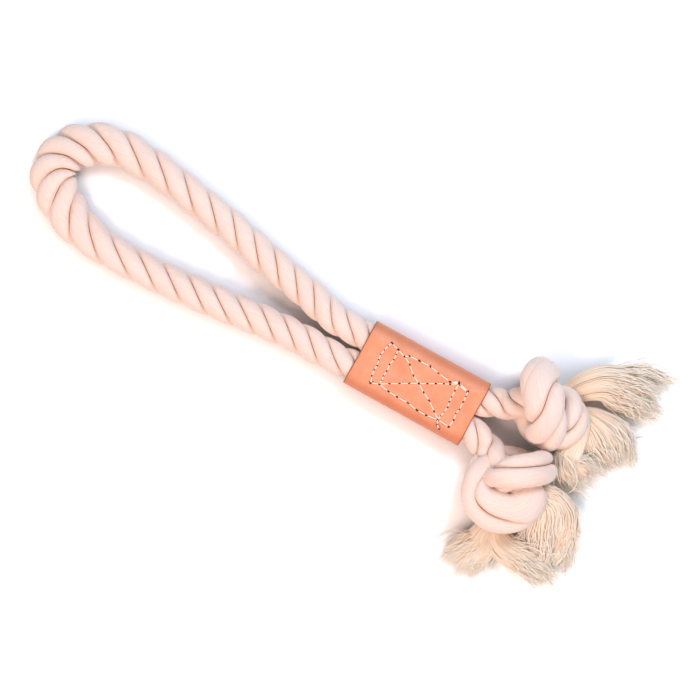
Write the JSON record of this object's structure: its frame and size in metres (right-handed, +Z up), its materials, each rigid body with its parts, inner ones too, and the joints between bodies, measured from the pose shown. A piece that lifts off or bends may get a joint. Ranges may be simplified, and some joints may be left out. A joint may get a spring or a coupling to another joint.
{
  "type": "rope dog toy",
  "caption": "Folded laid cotton rope toy: handle loop, sewn leather sleeve round the legs, overhand knots and combed tufts at the ends.",
  "frame": {"origin": "on the table under the middle of the toy's outline, at the centre of its box in plan and at its lowest point", "axes": "+X from the handle loop to the tufts, along both legs in the sleeve; +Z up from the table; +Y to the upper knot's side"},
  "size_m": [0.3798, 0.1502, 0.0471],
  "materials": {
    "cotton_rope": "natural unbleached cotton, laid rope, matte",
    "combed_cotton_yarn": "loose combed cotton yarn, matte",
    "tan_leather": "vegetable-tanned leather, smooth grain, satin",
    "waxed_thread": "waxed sewing thread, low sheen"
  },
  "bodies": {
    "root": {"rope_strand_a": "cotton_rope", "rope_strand_b": "cotton_rope", "rope_strand_c": "cotton_rope", "upper_knot": "cotton_rope", "lower_knot": "cotton_rope", "upper_tuft_1": "combed_cotton_yarn", "upper_tuft_2": "combed_cotton_yarn", "upper_tuft_3": "combed_cotton_yarn", "lower_tuft_1": "combed_cotton_yarn", "lower_tuft_2": "combed_cotton_yarn", "lower_tuft_3": "combed_cotton_yarn", "leather_sleeve": "tan_leather", "sleeve_stitching": "waxed_thread"}
  },
  "joints": []
}
